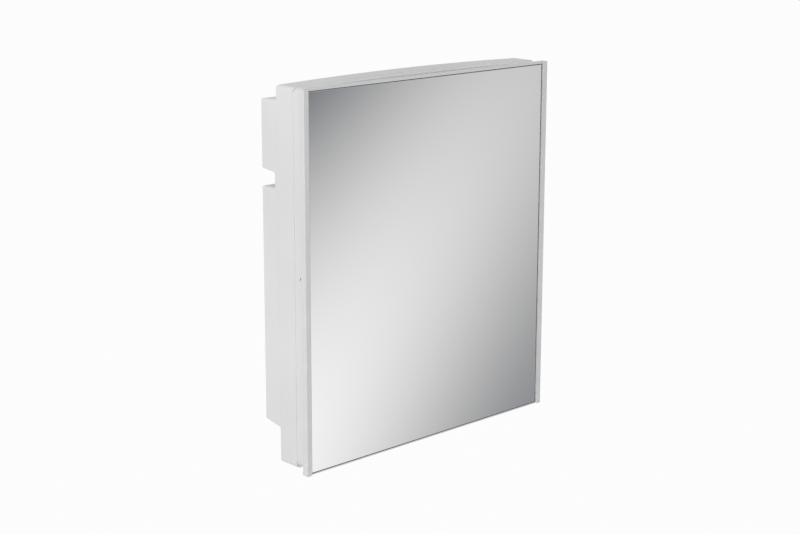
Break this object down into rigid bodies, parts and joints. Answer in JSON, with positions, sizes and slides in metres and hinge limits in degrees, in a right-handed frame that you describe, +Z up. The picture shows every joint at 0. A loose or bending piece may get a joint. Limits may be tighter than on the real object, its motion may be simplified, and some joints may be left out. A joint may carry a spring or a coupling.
{
  "type": "mirror medicine cabinet",
  "caption": "Shallow wall-hung white medicine cabinet with one full-height mirror door on pivot hinges, two shelves inside and a magnetic catch.",
  "frame": {"origin": "middle of the four wall-screw holes, on the wall plane at the back of the cabinet", "axes": "+X to the viewer's right, +Y back into the wall, +Z up"},
  "size_m": [0.358, 0.072, 0.4081],
  "materials": {
    "white_moulding": "satin",
    "white_stile": "satin",
    "white_panel": "matte",
    "mirror": "gloss",
    "dark_seal": "matte",
    "foam_tape": "matte",
    "zinc_steel": "satin",
    "magnet": "matte",
    "catch_plastic": "satin",
    "soft_rubber": "matte",
    "washer_nylon": "satin"
  },
  "bodies": {
    "cabinet": {"cabinet_body": "white_moulding", "lower_shelf": "white_moulding", "upper_shelf": "white_moulding", "upper_hinge_plate": "zinc_steel", "lower_hinge_plate": "zinc_steel", "hinge_plate_screws": "zinc_steel", "catch_housing": "catch_plastic", "catch_magnet": "magnet", "catch_pole_plates": "zinc_steel", "catch_screws": "zinc_steel", "door_bumpers": "soft_rubber", "hinge_washers": "washer_nylon"},
    "door": {"door_panel": "white_panel", "mirror_glass": "mirror", "mirror_tape": "foam_tape", "mirror_seal": "dark_seal", "hinge_side_stile": "white_stile", "catch_side_stile": "white_stile", "upper_hinge_cap": "white_stile", "lower_hinge_cap": "white_stile", "upper_end_cap": "white_stile", "lower_end_cap": "white_stile", "upper_hinge_pin": "zinc_steel", "lower_hinge_pin": "zinc_steel", "strike_plate": "zinc_steel", "strike_screw": "zinc_steel"}
  },
  "joints": [
    {"name": "door_hinge", "type": "hinge", "parent": "cabinet", "child": "door", "pos_m": [0.176, -0.068, -0.2075], "axis": [0, 0, 1], "range_deg": [0, 110]}
  ]
}
